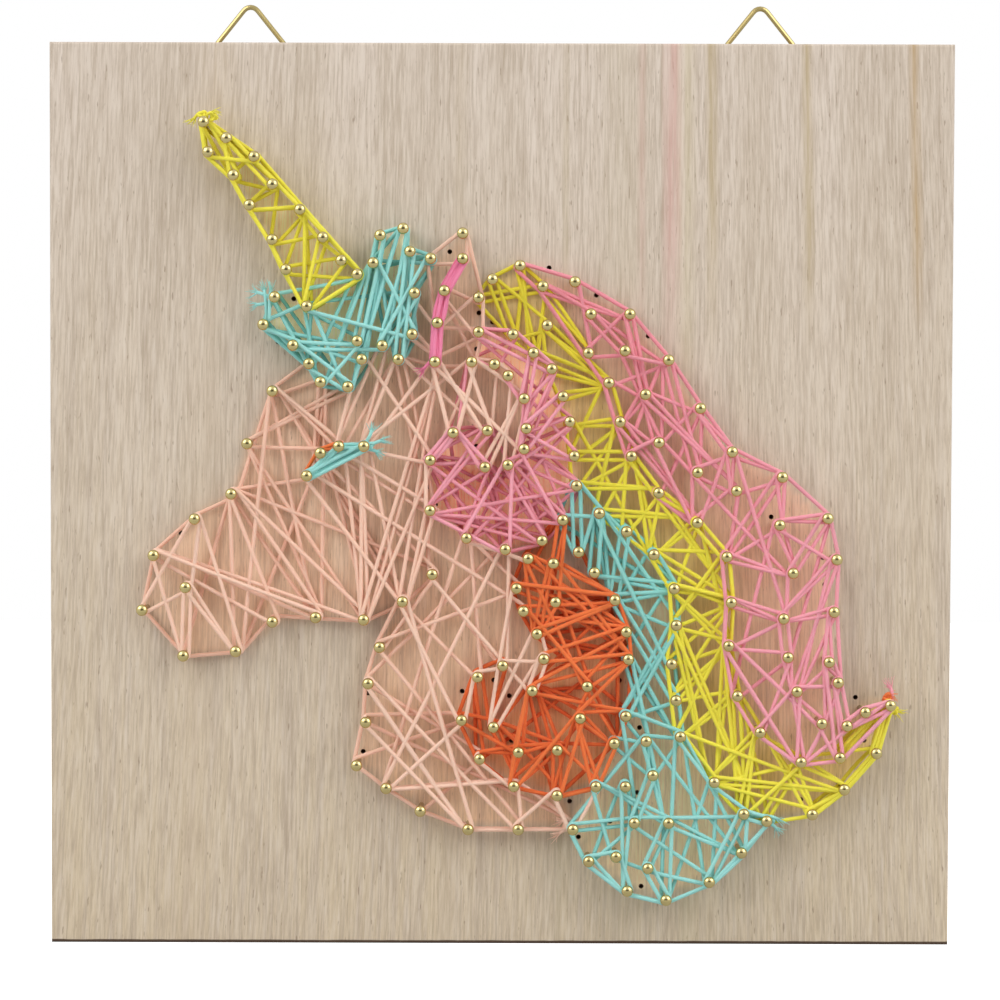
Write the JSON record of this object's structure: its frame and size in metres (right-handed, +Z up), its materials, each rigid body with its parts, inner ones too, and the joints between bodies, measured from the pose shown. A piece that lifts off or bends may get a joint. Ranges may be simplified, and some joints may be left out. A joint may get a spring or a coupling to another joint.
{
  "type": "string art wall panel",
  "caption": "Square wooden board with a unicorn head in coloured yarn wound between brass nails, and two wire triangle hangers.",
  "frame": {"origin": "middle of the board's bottom edge face", "axes": "+Z up, front faces -Y, +Y towards the wall, +X to the viewer's right"},
  "size_m": [0.2, 0.0251, 0.2102],
  "materials": {
    "pale_wood": "bare pale wood with straight upright grain",
    "nail_brass": "bright polished domed heads",
    "hanger_brass": "bright drawn wire and folded sheet",
    "yellow_yarn": "soft stranded cotton",
    "teal_yarn": "soft stranded cotton",
    "peach_yarn": "soft stranded cotton",
    "pink_yarn": "soft stranded cotton",
    "hot_pink_yarn": "soft stranded cotton",
    "orange_yarn": "soft stranded cotton"
  },
  "bodies": {
    "panel": {"board": "pale_wood", "cheek_yarn": "pink_yarn", "eye_yarn": "teal_yarn", "face_yarn": "peach_yarn", "forelock_yarn": "teal_yarn", "hanger_pin_left_1": "hanger_brass", "hanger_pin_left_2": "hanger_brass", "hanger_pin_right_1": "hanger_brass", "hanger_pin_right_2": "hanger_brass", "hanger_strap_left": "hanger_brass", "hanger_strap_right": "hanger_brass", "horn_yarn": "yellow_yarn", "inner_ear_yarn": "hot_pink_yarn", "nail_cheek_1": "nail_brass", "nail_cheek_2": "nail_brass", "nail_cheek_3": "nail_brass", "nail_ear_1": "nail_brass", "nail_ear_2": "nail_brass", "nail_ear_3": "nail_brass", "nail_eye_1": "nail_brass", "nail_eye_2": "nail_brass", "nail_face_1": "nail_brass", "nail_face_2": "nail_brass", "nail_face_3": "nail_brass", "nail_face_4": "nail_brass", "nail_face_5": "nail_brass", "nail_face_6": "nail_brass", "nail_face_7": "nail_brass", "nail_face_8": "nail_brass", "nail_face_9": "nail_brass", "nail_forelock_1": "nail_brass", "nail_forelock_2": "nail_brass", "nail_forelock_3": "nail_brass", "nail_forelock_4": "nail_brass", "nail_horn_1": "nail_brass", "nail_horn_2": "nail_brass", "nail_horn_3": "nail_brass", "nail_horn_4": "nail_brass", "nail_orange_1": "nail_brass", "nail_orange_2": "nail_brass", "nail_orange_3": "nail_brass", "nail_orange_4": "nail_brass", "nail_pink_1": "nail_brass", "nail_pink_2": "nail_brass", "nail_pink_3": "nail_brass", "nail_pink_4": "nail_brass", "nail_teal_1": "nail_brass", "nail_teal_2": "nail_brass", "nail_teal_3": "nail_brass", "nail_teal_4": "nail_brass", "nail_yellow_1": "nail_brass", "nail_yellow_2": "nail_brass", "nail_yellow_3": "nail_brass", "nail_yellow_4": "nail_brass", "orange_yarn": "orange_yarn", "pink_yarn": "pink_yarn", "teal_yarn": "teal_yarn", "yellow_yarn": "yellow_yarn"},
    "left_ring": {"hanger_ring_left": "hanger_brass"},
    "right_ring": {"hanger_ring_right": "hanger_brass"}
  },
  "joints": [
    {"name": "left_ring_swing", "type": "hinge", "parent": "panel", "child": "left_ring", "pos_m": [-0.0568, 0.00768, 0.197], "axis": [-1, 0, 0], "range_deg": [-10, 178]},
    {"name": "right_ring_swing", "type": "hinge", "parent": "panel", "child": "right_ring", "pos_m": [0.0582, 0.00768, 0.197], "axis": [-1, 0, 0], "range_deg": [-10, 178]}
  ]
}
